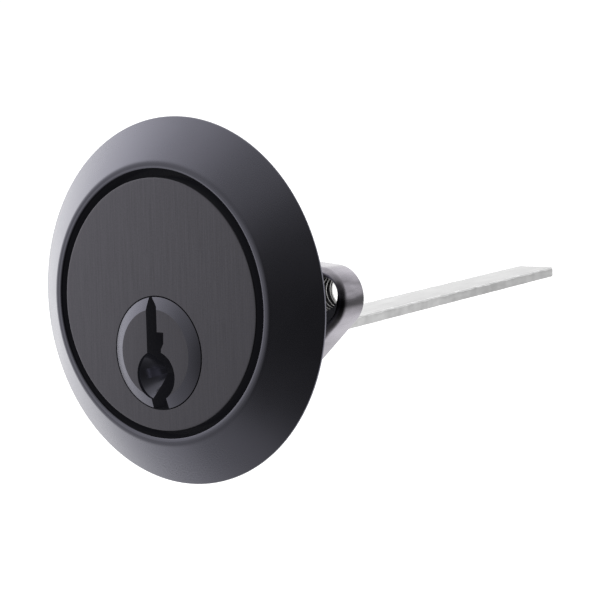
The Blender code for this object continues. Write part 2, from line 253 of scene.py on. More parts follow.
class Nodes:
    """A short way to write a node tree."""

    def __init__(self, name):
        self.material = bpy.data.materials.new(name)
        self.material.use_nodes = True
        self.tree = self.material.node_tree
        self.shader = self.tree.nodes["Principled BSDF"]

    def add(self, kind, **settings):
        node = self.tree.nodes.new(kind)
        for key, value in settings.items():
            setattr(node, key, value)
        return node

    def link(self, a, b):
        self.tree.links.new(a, b)

    def value(self, socket, value):
        self.shader.inputs[socket].default_value = value

    def object_coords(self, scale=(1, 1, 1)):
        coords = self.add("ShaderNodeTexCoord")
        mapping = self.add("ShaderNodeMapping")
        mapping.inputs["Scale"].default_value = scale
        self.link(coords.outputs["Object"], mapping.inputs["Vector"])
        return mapping.outputs["Vector"]

    def noise(self, vector, scale, detail=4.0, roughness=0.55):
        node = self.add("ShaderNodeTexNoise")
        node.inputs["Scale"].default_value = scale
        node.inputs["Detail"].default_value = detail
        node.inputs["Roughness"].default_value = roughness
        self.link(vector, node.inputs["Vector"])
        return node.outputs["Fac"]

    def ramp(self, fac, stops):
        node = self.add("ShaderNodeValToRGB")
        ramp = node.color_ramp
        while len(ramp.elements) < len(stops):
            ramp.elements.new(0.5)
        for element, (position, colour) in zip(ramp.elements, stops):
            element.position = position
            element.color = (*colour, 1.0) if len(colour) == 3 else colour
        self.link(fac, node.inputs["Fac"])
        return node.outputs["Color"]

    def span(self, value, low, high, out_low, out_high):
        node = self.add("ShaderNodeMapRange")
        limits = {"From Min": low, "From Max": high, "To Min": out_low, "To Max": out_high}
        for socket, number in limits.items():
            node.inputs[socket].default_value = number
        self.link(value, node.inputs["Value"])
        return node.outputs["Result"]

    def soft_span(self, value, low, high, out_low, out_high):
        result = self.span(value, low, high, out_low, out_high)
        result.node.interpolation_type = "SMOOTHSTEP"
        return result

    def math(self, operation, a, b):
        node = self.add("ShaderNodeMath", operation=operation)
        for socket, item in zip(node.inputs, (a, b)):
            if isinstance(item, (int, float)):
                socket.default_value = item
            else:
                self.link(item, socket)
        return node.outputs["Value"]

    def bump(self, *layers):
        """Stacks (height, strength, distance) layers into the shader's normal."""
        normal = None
        for height, strength, distance in layers:
            node = self.add("ShaderNodeBump")
            node.inputs["Strength"].default_value = strength
            node.inputs["Distance"].default_value = distance
            self.link(height, node.inputs["Height"])
            if normal is not None:
                self.link(normal, node.inputs["Normal"])
            normal = node.outputs["Normal"]
        self.link(normal, self.shader.inputs["Normal"])


def grey(value, tint=(1.0, 1.0, 1.0)):
    return tuple(value * t for t in tint)


def brushed_black(name, level):
    """Black plating finely brushed up and down, with painted light that makes it lighter to the left and to
    the top, and a faint speckle.
    """
    n = Nodes(name)
    lines = n.object_coords(scale=(1.0, 1.0, 0.02))
    fine = n.noise(lines, 14000, detail=2.0, roughness=0.6)
    wide = n.noise(lines, 3600, detail=2.0, roughness=0.5)
    speckle = n.noise(n.object_coords(), 5200, detail=2.0, roughness=0.7)
    streak = n.math("ADD", n.math("MULTIPLY", fine, 0.65), n.math("MULTIPLY", wide, 0.35))
    mixed = n.math("ADD", n.math("MULTIPLY", streak, 0.6), n.math("MULTIPLY", speckle, 0.4))
    split = n.add("ShaderNodeSeparateXYZ")
    n.link(n.object_coords(), split.inputs["Vector"])
    # painted light: the tone rises to the left and to the top, following how the light falls
    across = n.span(split.outputs["X"], -0.015, 0.015, 1.14, 0.86)
    upward = n.span(split.outputs["Z"], -0.015, 0.015, 0.92, 1.08)
    grain = n.span(mixed, 0.3, 0.7, 0.8, 1.2)
    shade = n.math("MULTIPLY", n.math("MULTIPLY", grain, level), n.math("MULTIPLY", across, upward))
    colour = n.ramp(shade, [(0.0, grey(0.0)), (1.0, grey(1.0, (1.0, 0.965, 1.1)))])
    n.link(colour, n.shader.inputs["Base Color"])
    n.link(n.span(mixed, 0.3, 0.7, 0.33, 0.4), n.shader.inputs["Roughness"])
    n.value("Metallic", 1.0)
    n.bump((mixed, 0.03, 0.00003))
    return n.material


# tint of the faint painted glow, an emission that lightens dark recesses as if light reached them
PAINTED_GLOW_TINT = (0.9, 0.9, 1.15, 1.0)


def satin_black(name, level, smooth=0.27, lip=None, lift=0.0):
    """Black plating on a smooth surface, with faint handling marks and, where asked for, a faint painted
    glow: an emission that lifts its shade.

    lip lists radii about the rose's axis, each with the share of the tone that is left there: a painted
    highlight on the bore's edge and painted shade on the flat lip beyond it.
    """
    n = Nodes(name)
    vector = n.object_coords()
    grain = n.noise(vector, 5200, detail=3.0, roughness=0.6)
    cloud = n.noise(vector, 110, detail=4.0, roughness=0.5)
    shade = n.span(cloud, 0.3, 0.7, level * 0.95, level * 1.05)
    # painted highlight and painted shade on the rose's lip, by radius
    if lip:
        radius = n.add("ShaderNodeVectorMath", operation="LENGTH")
        n.link(n.object_coords(scale=(1.0, 0.0, 1.0)), radius.inputs[0])
        for inner, outer, start, end in lip:
            shade = n.math("MULTIPLY", shade, n.soft_span(radius.outputs["Value"], inner, outer, start, end))
    colour = n.ramp(shade, [(0.0, grey(0.0)), (1.0, grey(1.0, (1.01, 1.0, 1.2)))])
    n.link(colour, n.shader.inputs["Base Color"])
    rough = n.math("ADD", n.span(cloud, 0.3, 0.7, smooth, smooth + 0.05),
                   n.span(grain, 0.3, 0.7, -0.03, 0.03))
    n.link(rough, n.shader.inputs["Roughness"])
    n.value("Metallic", 1.0)
    # painted glow: a faint emission, set by lift, that lightens the shade
    n.value("Emission Color", PAINTED_GLOW_TINT)
    n.value("Emission Strength", lift)
    n.bump((grain, 0.05, 0.00003))
    return n.material


def painted_shade_black(name, level, metallic=0.3, sheen=0.5, lift=0.005):
    """Near-black material that reflects little, standing in for the shade in narrow gaps and cut slots:
    painted shade, with a faint painted glow.
    """
    n = Nodes(name)
    grain = n.noise(n.object_coords(), 3000, detail=3.0)
    tint = (1.0, 1.0, 1.1)
    colour = n.ramp(grain, [(0.3, grey(level * 0.8, tint)), (0.7, grey(level * 1.2, tint))])
    n.link(colour, n.shader.inputs["Base Color"])
    n.link(n.span(grain, 0.3, 0.7, 0.5, 0.62), n.shader.inputs["Roughness"])
    n.value("Metallic", metallic)
    n.value("Specular IOR Level", sheen)
    # painted glow: a faint emission that lightens the shade in gaps and slots
    n.value("Emission Color", PAINTED_GLOW_TINT)
    n.value("Emission Strength", lift)
    n.bump((grain, 0.1, 0.00003))
    return n.material


def lug_nickel_painted_shade(name):
    """Bright cast nickel with streaks across the lug's edge, and painted light by place: a painted shade
    band, painted shade at its front that fades back, a painted highlight band, and painted shade along the
    top and towards the bottom.
    """
    n = Nodes(name)
    position = n.object_coords()
    streaks = n.noise(n.object_coords(scale=(1.0, 0.22, 1.0)), 420, detail=4.0, roughness=0.5)
    grain = n.noise(position, 2600, detail=3.0)
    split = n.add("ShaderNodeSeparateXYZ")
    n.link(position, split.inputs["Vector"])
    height = n.math("ADD", split.outputs["Z"], n.span(streaks, 0.3, 0.7, -0.0008, 0.0008))
    # painted shade: a dark band across the flank, its edges ragged by the streaks
    painted_shade_band = n.math("MINIMUM", n.soft_span(height, -0.0044, -0.0011, 0.0, 0.9),
                   n.soft_span(height, -0.001, 0.0017, 0.9, 0.0))
    # painted shade at the lug's front edge, fading back along the flank, with less of it near the top
    start = (FACE_Y + BODY_BACK - LUG_DEPTH) * MM
    behind = n.math("SUBTRACT", split.outputs["Y"], start)
    shifted = n.math("ADD", behind, n.soft_span(split.outputs["Z"], -0.0002, 0.0018, 0.0, 0.0016))
    ragged = n.math("ADD", shifted, n.span(streaks, 0.3, 0.7, -0.0002, 0.0002))
    fade = n.soft_span(ragged, 0.0001, 0.0009, 0.25, 1.0)
    # painted highlight band over the upper flank, then painted shade along the top
    shoulder = n.soft_span(split.outputs["Z"], 0.0003, 0.0016, 1.0, 1.28)
    crown = n.math("MULTIPLY", shoulder, n.soft_span(split.outputs["Z"], 0.0023, 0.0033, 1.0, 0.4))
    # painted shade towards the bottom
    root = n.soft_span(split.outputs["Z"], -0.0078, -0.0048, 0.84, 1.0)
    # share of the tone left by all the painted light and shade
    painted_light_share = n.math("MULTIPLY", n.math("SUBTRACT", 1.0, painted_shade_band), fade)
    painted_light_share = n.math("MULTIPLY", painted_light_share, n.math("MULTIPLY", crown, root))
    shade = n.math("MULTIPLY", n.span(streaks, 0.3, 0.7, 0.37, 0.54), painted_light_share)
    colour = n.ramp(shade, [(0.0, grey(0.0)), (1.0, grey(1.0, (1.0, 0.95, 1.05)))])
    n.link(colour, n.shader.inputs["Base Color"])
    n.link(n.math("ADD", n.span(streaks, 0.3, 0.7, 0.22, 0.3), n.span(grain, 0.3, 0.7, -0.03, 0.03)),
           n.shader.inputs["Roughness"])
    n.value("Metallic", 1.0)
    n.bump((streaks, 0.08, 0.0001), (grain, 0.06, 0.00003))
    return n.material


def cast_metal(name, level, tint, rough_low, rough_high, grain_scale, strength, streak=(1.0, 1.0, 1.0),
               painted_shade_along=None):
    """Plated or machined metal: uneven roughness, fine tool marks along one direction, faint staining and,
    where asked for, painted shade along the lock's axis.

    The last argument gives two depths along the lock's axis and the share of the tone that is left past the
    second: painted shade.
    """
    n = Nodes(name)
    marks = n.noise(n.object_coords(scale=streak), grain_scale, detail=4.0, roughness=0.65)
    cloud = n.noise(n.object_coords(), 160, detail=4.0)
    shade = n.span(cloud, 0.28, 0.72, level * 0.86, min(1.0, level * 1.06))
    # painted shade: the tone drops along the lock's axis
    if painted_shade_along:
        near, far, share = painted_shade_along
        split = n.add("ShaderNodeSeparateXYZ")
        n.link(n.object_coords(), split.inputs["Vector"])
        shade = n.math("MULTIPLY", shade, n.soft_span(split.outputs["Y"], near, far, 1.0, share))
    colour = n.ramp(shade, [(0.0, grey(0.0)), (1.0, grey(1.0, tint))])
    n.link(colour, n.shader.inputs["Base Color"])
    rough = n.math("ADD", n.span(cloud, 0.3, 0.7, rough_low, rough_high),
                   n.span(marks, 0.3, 0.7, -0.05, 0.05))
    n.link(rough, n.shader.inputs["Roughness"])
    n.value("Metallic", 1.0)
    n.bump((marks, strength, 0.00004), (cloud, strength * 0.6, 0.0001))
    return n.material


FACE_METAL = brushed_black("brushed_black_face", 0.11)
PLUG_METAL = brushed_black("brushed_black_plug", 0.103)
CHAMFER_METAL = satin_black("turned_black_chamfer", 0.15, 0.24)
# the rose's lip carries a painted highlight at the bore's edge and painted shade on the flat band
ROSE_METAL = satin_black("satin_black_rose", 0.16,
                         lip=((0.0168, 0.01695, 1.45, 1.0), (0.01715, 0.0178, 0.66, 1.0)))
# painted shade: near-black materials for the groove and the keyway walls
GROOVE_METAL = painted_shade_black("groove_painted_shade", 0.03, 0.0, 0.1)
SLOT_METAL = painted_shade_black("keyway_walls_painted_shade", 0.09)
# the thumb cup carries a faint painted glow that lightens the shade in it
CUP_METAL = satin_black("thumb_cup", 0.16, 0.16, lift=0.005)
NICKEL = cast_metal("bright_nickel", 0.45, (1.0, 0.97, 0.98), 0.16, 0.26, 1500, 0.10)
LUG_NICKEL_PAINTED_SHADE = lug_nickel_painted_shade("cast_nickel_lug_painted_shade")
# painted shade: a near-black material for the lug's front, which lies in shade behind the rose
LUG_FRONT_PAINTED_SHADE = painted_shade_black("lug_front_painted_shade", 0.09)
THREAD_METAL = cast_metal("cut_thread", 0.10, (1.0, 0.98, 0.98), 0.3, 0.4, 3000, 0.08)
CREST_METAL = cast_metal("bright_thread_crest", 0.7, (1.0, 0.99, 0.98), 0.3, 0.4, 3000, 0.08)
ZINC = cast_metal("zinc_plate", 0.5, (1.0, 1.0, 1.0), 0.36, 0.46, 2500, 0.12, streak=(1.0, 0.05, 1.0))
# the sheared sides darken towards the tail's tip: painted shade
SHEARED = cast_metal("sheared_zinc_edge", 0.62, (1.0, 1.0, 1.0), 0.42, 0.6, 1300, 0.5,
                     streak=(1.0, 0.35, 1.6), painted_shade_along=(0.038, 0.066, 0.82))
# painted highlight: a brighter zinc for the tail's rolled top edges
ZINC_EDGE_HIGHLIGHT = cast_metal("zinc_edge_painted_highlight", 0.84, (1.0, 1.0, 1.0), 0.4, 0.5, 1300, 0.3,
                       streak=(1.0, 0.35, 1.6))
BRASS = cast_metal("machined_brass", 0.62, (1.0, 0.72, 0.34), 0.22, 0.34, 2600, 0.10)
NICKEL_SILVER = cast_metal("turned_nickel_silver", 0.62, (1.0, 0.95, 0.86), 0.2, 0.32, 2600, 0.10)
STEEL = cast_metal("turned_steel", 0.55, (1.0, 1.0, 1.02), 0.24, 0.36, 2600, 0.12)
SPRING_STEEL = cast_metal("spring_wire", 0.6, (1.0, 0.99, 0.97), 0.2, 0.3, 3000, 0.08)


# ---------------------------------------------------------------- pieces

def make_rose():
    """The conical ring: a narrow lip round the head, a tight shoulder, a straight cone and a thin rim.

    Its bore sits a little off its centre.
    """
    slope = 36
    bore = 16.5
    lip_front = 0.2
    lip_edge = 17.0
    lip_round = 0.8
    seat = 2.95
    rim_thickness = 0.26
    rim_foot = ROSE_RADIUS - 0.9
    roof = (20.1, 3.2)
    land = (14.5, 18.4)
    wall = soft_profile([(bore, seat), (bore, lip_front), (lip_edge, lip_front)], [0, 0.25, 0], 6)
    shoulder = arc((lip_edge + 0.05, lip_front + lip_round), lip_round, -90, slope - 90, 12)
    rim = soft_profile([shoulder[-1], (ROSE_RADIUS, ROSE_BACK - rim_thickness), (ROSE_RADIUS, ROSE_BACK),
                        (rim_foot, ROSE_BACK)], [0, 0.4, 0.06, 0], 5)
    hollow = soft_profile([(rim_foot, ROSE_BACK), roof, (land[1], roof[1]), (land[1], ROSE_BACK),
                           (land[0], ROSE_BACK), (land[0], seat)], [0.1, 0.3, 0.3, 0.15, 0.12, 0], 3)
    profile = wall + shoulder + rim[1:] + hollow[1:]
    bm = bmesh.new()
    lathe(bm, profile, segments=256, closed=True)
    bore_shift = Vector((0.07, 0, 0.06)) * MM
    shift_fade = 1.2
    for vert in bm.verts:
        radius = math.hypot(vert.co.x, vert.co.z) / MM
        vert.co += bore_shift * min(1.0, max(0.0, (land[1] - radius) / shift_fade))
    rose = to_object("rose_shell", bm, ROSE_METAL, "housing", ["rose"])
    # painted shade: the rose's bore wall inside the groove gets the near-black groove material
    darken(rose, lambda c, n: (land[0] - 0.1 < math.hypot(c.x, c.z) / MM < bore + 0.1
                               and 0.42 < c.y / MM - FACE_Y < seat + 0.15))


def darken(obj, inside, metal=None):
    """Gives the faces that the test picks, by centre and normal, their own finish; by default the near-black
    groove material, which is painted shade.
    """
    obj.data.materials.append(metal or GROOVE_METAL)
    slot = len(obj.data.materials) - 1
    for polygon in obj.data.polygons:
        if inside(polygon.center, polygon.normal):
            polygon.material_index = slot


def eccentric_disc(bm, outer_ring, inner_ring):
    """Fills the flat face between two concentric-in-angle rings whose centres differ."""
    count = len(outer_ring)
    for i in range(count):
        j = (i + 1) % count
        bm.faces.new([outer_ring[i], outer_ring[j], inner_ring[j], inner_ring[i]])


def make_head():
    """The round head: a brushed face with a crisp rounded edge, bored off-centre for the plug.

    The loose rose sits a little to one side of it.
    """
    bm = bmesh.new()
    segments = 192
    head_depth = 2.8
    neck = 14.2
    back = 4.3
    plug_seat = 7.02
    seat_depth = 2.15
    outside = soft_profile([(HEAD_RADIUS - 0.35, 0.0), (HEAD_RADIUS, 0.0), (HEAD_RADIUS, head_depth),
                            (neck, head_depth), (neck, back), (neck - 0.3, back)],
                           [0, 0.14, 0.1, 0.05, 0.15, 0], 4)
    outer = lathe(bm, outside, x=HEAD_SHIFT, segments=segments)
    inside = soft_profile([(plug_seat + 0.1, 0.0), (plug_seat, 0.0), (plug_seat, seat_depth),
                           (PLUG_BORE, seat_depth), (PLUG_BORE, back)], [0, 0.05, 0.02, 0.02, 0], 3)
    inner = lathe(bm, inside, z=-PLUG_DROP, segments=segments)
    eccentric_disc(bm, outer[0], inner[0])
    eccentric_disc(bm, outer[-1], inner[-1])
    head = to_object("head_face", bm, FACE_METAL, "housing", ["cylinder_body"])
    socket_floor = 3.2
    socket_end = 5.0
    socket_radius = 7.6
    tower_half = 2.2
    tower_reach = 16.4
    barrel_socket = bmesh.new()
    lathe(barrel_socket, [(0, socket_floor), (socket_radius, socket_floor), (socket_radius, socket_end),
                          (0, socket_end)], z=-PLUG_DROP)
    tower_socket = [(-tower_half, 0.0), (tower_half, 0.0), (tower_half, tower_reach),
                    (-tower_half, tower_reach)]
    carve(head, [cutter("barrel_socket", barrel_socket, NICKEL),
                 extruded("tower_socket", tower_socket, socket_floor, socket_end)])
    # painted shade: the head's side wall and back, inside the groove, get the near-black groove material
    darken(head, lambda c, n: c.y / MM - FACE_Y > 0.14)


def core_outline():
    """The section behind the head: the barrel round the plug with the pin tower above it, and its groove."""
    radius = 7.9
    half = 3.7
    top = 11.8
    corner = 1.7
    groove = 2.3
    floor = 10.7
    join = math.degrees(math.asin(half / radius))
    points = arc((0, -PLUG_DROP), radius, 90 + join, 450 - join, 72)
    points += [p for p in arc((half - corner, top - corner), corner, 0, 78, 8) if p[0] > groove + 0.05]
    points += [(groove, top - 0.12), (groove, floor), (-groove, floor), (-groove, top - 0.12)]
    points += [p for p in arc((corner - half, top - corner), corner, 102, 180, 8) if p[0] < -groove - 0.05]
    return points


def make_core():
    """The barrel and the pin tower in one cast piece, bored for the plug."""
    front = 4.2
    bm = bmesh.new()
    prism(bm, core_outline(), front, TOWER_BACK, 0.25)
    core = to_object("core_shell", bm, NICKEL, "housing", [])
    bore = bmesh.new()
    ends = (front - 1.2, TOWER_BACK + 1.8)
    lathe(bore, [(0, ends[0]), (PLUG_BORE, ends[0]), (PLUG_BORE, ends[1]), (0, ends[1])], z=-PLUG_DROP,
          segments=128)
    carve(core, [cutter("core_bore", bore, NICKEL)])


def thread(bm, x, z):
    """The wall of a tapped hole: a helical groove between two short plain lands."""
    around = 96
    steps = 150
    front = BODY_BACK - LUG_DEPTH
    land = 0.3
    run_out = 0.15
    flank = 2.5
    crest_share = 0.125
    rings = []
    for k in range(steps + 1):
        s = front + LUG_DEPTH * k / steps
        depth = min(1.0, max(0.0, (min(s - front, front + LUG_DEPTH - s) - land) / run_out))
        ring = []
        for i in range(around):
            turn = i / around
            phase = ((s - front) / THREAD_PITCH - turn) % 1.0
            groove = min(max(abs(phase - 0.5) * flank - crest_share, 0.0), 1.0)
            radius = THREAD_MINOR + (THREAD_MAJOR - THREAD_MINOR) * groove * depth
            a = 2 * math.pi * turn
            ring.append(bm.verts.new(place(x + radius * math.cos(a), s, z + radius * math.sin(a))))
        rings.append(ring)
    for near, far in zip(rings, rings[1:]):
        for i in range(around):
            j = (i + 1) % around
            bm.faces.new([near[i], near[j], far[j], far[i]])


def make_flange():
    """The rear flange with its two ears, broadly rounded in front, and the tapped holes in the ears."""
    x, z = LUG_CENTRE
    outline = hull([(x, z, LUG_RADIUS), (-x, z, LUG_RADIUS), (0, -PLUG_DROP, FLANGE_RADIUS),
                    (0, *FLANGE_CREST)])
    bm = bmesh.new()
    front_round = 1.1
    back_round = 0.25
    prism(bm, outline, BODY_BACK - LUG_DEPTH, BODY_BACK, front_round, steps=9, back_edge=back_round)
    flange = to_object("flange_shell", bm, LUG_NICKEL_PAINTED_SHADE, "housing", [])
    bore = bmesh.new()
    stub_bore = 5.3
    stub_start = TOWER_BACK + 0.15
    start, end = (10, 30)
    lathe(bore, [(0, start), (PLUG_BORE, start), (PLUG_BORE, stub_start), (stub_bore, stub_start),
                 (stub_bore, end), (0, end)], z=-PLUG_DROP, segments=128)
    tools = [cutter("flange_bore", bore, LUG_NICKEL_PAINTED_SHADE)]
    for sign in (1, -1):
        hole = bmesh.new()
        lathe(hole, [(0, start), (THREAD_MINOR, start), (THREAD_MINOR, end), (0, end)],
              x=sign * SCREW_HOLE[0], z=SCREW_HOLE[1], segments=96)
        tools.append(cutter("flange_hole", hole, LUG_NICKEL_PAINTED_SHADE))
    carve(flange, tools)
    # painted shade: the flange's front faces get a near-black material
    darken(flange, lambda c, n: n.y < -0.97, LUG_FRONT_PAINTED_SHADE)
    strip(flange, lambda c, n: abs(n.y) < 0.5 and inside_hole(c))
    for side, sign in (("right", 1), ("left", -1)):
        bm = bmesh.new()
        thread(bm, sign * SCREW_HOLE[0], SCREW_HOLE[1])
        wall = to_object(f"thread_{side}", bm, THREAD_METAL, "housing", [],
                         smooth_angle=math.radians(60))
        flip_inward(wall)
        darken(wall, crest, CREST_METAL)


def inside_hole(c):
    """True for a place on the wall of one of the two screw holes."""
    return math.hypot(abs(c.x) / MM - SCREW_HOLE[0], c.z / MM - SCREW_HOLE[1]) < THREAD_MINOR + 0.01


def crest(c, n):
    """True for a face on the narrow top of a thread."""
    return math.hypot(abs(c.x) / MM - SCREW_HOLE[0], c.z / MM - SCREW_HOLE[1]) < THREAD_MINOR + 0.05


def strip(obj, inside):
    """Deletes the faces that the test picks."""
    bm = bmesh.new()
    bm.from_mesh(obj.data)
    unwanted = [f for f in bm.faces if inside(f.calc_center_median(), f.normal)]
    bmesh.ops.delete(bm, geom=unwanted, context="FACES")
    bm.to_mesh(obj.data)
    bm.free()


def flip_inward(obj):
    """Turns an open tube's faces to its own axis."""
    bm = bmesh.new()
    bm.from_mesh(obj.data)
    bm.faces.ensure_lookup_table()
    centre = sum((v.co for v in bm.verts), Vector()) / len(bm.verts)
    face = bm.faces[len(bm.faces) // 2]
    toward = Vector((centre.x, face.calc_center_median().y, centre.z)) - face.calc_center_median()
    if face.normal.dot(toward) < 0:
        bmesh.ops.reverse_faces(bm, faces=bm.faces)
    bm.to_mesh(obj.data)
    bm.free()


def extruded(name, outline, front, back):
    """A cutter along Y whose (x, z) outline is taken about the plug's axis; the faces it cuts take the
    near-black slot material, which is painted shade.
    """
    bm = bmesh.new()
    prism(bm, [(x, z - PLUG_DROP) for x, z in outline], front, back, 0.0, steps=1)
    return cutter(name, bm, SLOT_METAL)


def make_plug():
    """The plug: a brushed flat, a crisp bright chamfer, the keyway and the cup-shaped thumb pocket."""
    bm = bmesh.new()
    proud = -0.6
    flat = 5.4
    collar = 6.92
    collar_depth = 2.0
    stub = 5.2
    corners = [(0.0, proud), (flat, proud), (collar - 0.04, -0.02), (collar, 0.1), (collar, collar_depth),
               (PLUG_RADIUS, collar_depth), (PLUG_RADIUS, TOWER_BACK), (stub, TOWER_BACK), (stub, PLUG_BACK),
               (0.0, PLUG_BACK)]
    lathe(bm, soft_profile(corners, [0, 0.06, 0.03, 0.05, 0.05, 0.05, 0.1, 0.05, 0.1, 0], 3), z=-PLUG_DROP,
          segments=192)
    plug = to_object("plug_shell", bm, PLUG_METAL, "plug", ["plug"])
    keyway = [(0.4, 5.2), (-1.3, 5.2), (-1.3, 0.0), (-0.95, -2.8), (-0.95, -5.8), (-1.2, -8.5), (1.5, -8.5),
              (1.5, -2.8), (0.95, 0.1), (1.0, 0.6), (1.4, 1.3), (1.45, 2.65), (0.4, 2.65)]
    mouth = [(0.4, 4.6), (0.4, 5.4), (0.28, 5.75), (0.03, 6.05), (-0.68, 6.75), (-0.95, 7.3), (-1.2, 7.3),
             (-1.32, 5.6), (-1.3, 4.6)]
    ahead = -2.0
    keyway_end = 21.5
    mouth_end = 1.6
    # painted shade: the keyway and mouth walls take the near-black slot material
    tools = [extruded("keyway", keyway, ahead, keyway_end), extruded("mouth", mouth, ahead, mouth_end)]
    cup = bmesh.new()
    radius = 3.05
    rim = -0.15
    depth = 4.1
    lean = 0.08
    cup_below = 2.75
    cone = soft_profile([(0, ahead), (radius, ahead), (radius, rim), (0, rim + depth)], [0, 0, 0.12, 0], 5)
    lathe(cup, cone, x=0.02, z=-PLUG_DROP - cup_below, segments=160)
    for vert in cup.verts:
        below = vert.co.y / MM - FACE_Y - rim
        vert.co.z += max(0.0, below) * lean * MM
    tools.append(cutter("cup", cup, CUP_METAL))
    chamber_floor = 1.2 - PLUG_DROP
    above = 3.0
    for i in range(PIN_COUNT):
        chamber = bmesh.new()
        tube(chamber, FIRST_PIN + PIN_PITCH * i, chamber_floor, above, CHAMBER_RADIUS)
        tools.append(cutter("chamber", chamber, SLOT_METAL))
    half, rise, pocket_depth = (4.45, 1.4, 1.5)
    tools.append(extruded("tail_pocket", [(-half, -rise), (half, -rise), (half, rise), (-half, rise)],
                          PLUG_BACK - pocket_depth, PLUG_BACK + 1))
    carve(plug, tools)
    darken(plug, lambda c, n: -0.98 < n.y < -0.6 and c.y / MM < FACE_Y + 0.1 and reach(c) > flat - 0.05,
           CHAMFER_METAL)


def reach(c):
    """Distance from the plug's axis in millimetres."""
    return math.hypot(c.x / MM, c.z / MM + PLUG_DROP)


def tube(bm, station, low, high, radius, segments=48):
    """A closed upright cylinder at a station."""
    rings = [[bm.verts.new(place(radius * math.cos(a), station + radius * math.sin(a), z))
              for a in (2 * math.pi * i / segments for i in range(segments))] for z in (low, high)]
    for i in range(segments):
        j = (i + 1) % segments
        bm.faces.new([rings[0][i], rings[0][j], rings[1][j], rings[1][i]])
    bm.faces.new(rings[0][::-1])
    bm.faces.new(rings[1])


def wobble(t, seed):
    """A smooth irregular wave between about -1 and 1."""
    waves = ((1.0, 1.7, 1.0), (0.6, 4.1, 2.3), (0.35, 9.7, 3.1))
    return sum(size * math.sin(t * rate + seed * shift) for size, rate, shift in waves) / 1.95


def make_tail():
    """The flat bar: rolled-over top edges, rough sheared sides that wander a little, and a slight twist."""
    head_half = 4.2
    head_ends = (-0.55, 0.57)
    half = TAIL_WIDTH / 2
    thick = TAIL_THICKNESS / 2
    root = 0.55
    nib = 0.45
    steps = 200
    bm = bmesh.new()
    rings = []
    for k in range(steps + 1):
        y = root + (TAIL_LENGTH - root) * k / steps
        tear = 0.2 + 0.16 * wobble(y * 0.45, 2.2)
        ring = []
        for sign, seed in ((1, 4.1), (-1, 1.3)):
            flank_x = half - 0.03 + 0.05 * wobble(y * 0.6, seed)
            burr = 0.02 * wobble(y * 1.9, seed)
            drop = 0.08 + 0.08 * wobble(y * 0.7, seed + 2.6)
            side = [(flank_x - 0.5, thick), (flank_x - 0.26, thick - 0.15 * drop),
                    (flank_x - 0.08, thick - 0.7 * drop), (flank_x - 0.02, thick - drop - 0.02),
                    (flank_x + burr, thick - drop - 0.14), (flank_x + burr, 0.3 * tear),
                    (flank_x - 0.05, -0.8 * tear), (flank_x - 0.06 - burr, -thick + 0.16),
                    (flank_x - 0.08, -thick + 0.05), (flank_x - 0.14, -thick)]
            side = [(sign * x, z) for x, z in side]
            ring += side if sign == 1 else side[::-1]
        near_end = max(0.0, (y - TAIL_LENGTH + nib) / nib)
        taper = 1 - 0.05 * near_end ** 2
        roll = TAIL_ROOT_ROLL + (TAIL_TIP_ROLL - TAIL_ROOT_ROLL) * y / TAIL_LENGTH
        turn = Matrix.Rotation(roll, 3, "Y")
        rings.append([bm.verts.new(turn @ Vector((x * taper, y, z)) * MM) for x, z in ring])
    count = len(rings[0])
    flank = list(range(3, 9)) + [count - 1 - k for k in range(4, 10)]
    # the rolled top edges take the brighter zinc: a painted highlight
    highlight_faces = (1, 2, 3, count - 3, count - 4, count - 5)
    for near, far in zip(rings, rings[1:]):
        for i in range(count):
            j = (i + 1) % count
            face = bm.faces.new([near[i], near[j], far[j], far[i]])
            face.material_index = 2 if i in highlight_faces else 1 if i in flank else 0
    bm.faces.new(rings[0])
    bm.faces.new(rings[-1][::-1]).material_index = 1
    corners = [(-head_half, -thick), (head_half, -thick), (head_half, thick), (-head_half, thick)]
    ends = [[bm.verts.new(Vector((x, y, z)) * MM) for x, z in corners] for y in head_ends]
    for i in range(4):
        j = (i + 1) % 4
        bm.faces.new([ends[0][i], ends[0][j], ends[1][j], ends[1][i]])
    bm.faces.new(ends[0])
    bm.faces.new(ends[1])
    tilt = Matrix.Rotation(TAIL_TILT, 4, "X")
    bm.transform(Matrix.Translation(place(0, TAIL_PIVOT, -PLUG_DROP - TAIL_SAG)) @ tilt)
    tail = to_object("tail_blade", bm, ZINC, "tail", ["tail_bar"], smooth_angle=math.radians(50))
    tail.data.materials.append(SHEARED)
    tail.data.materials.append(ZINC_EDGE_HIGHLIGHT)


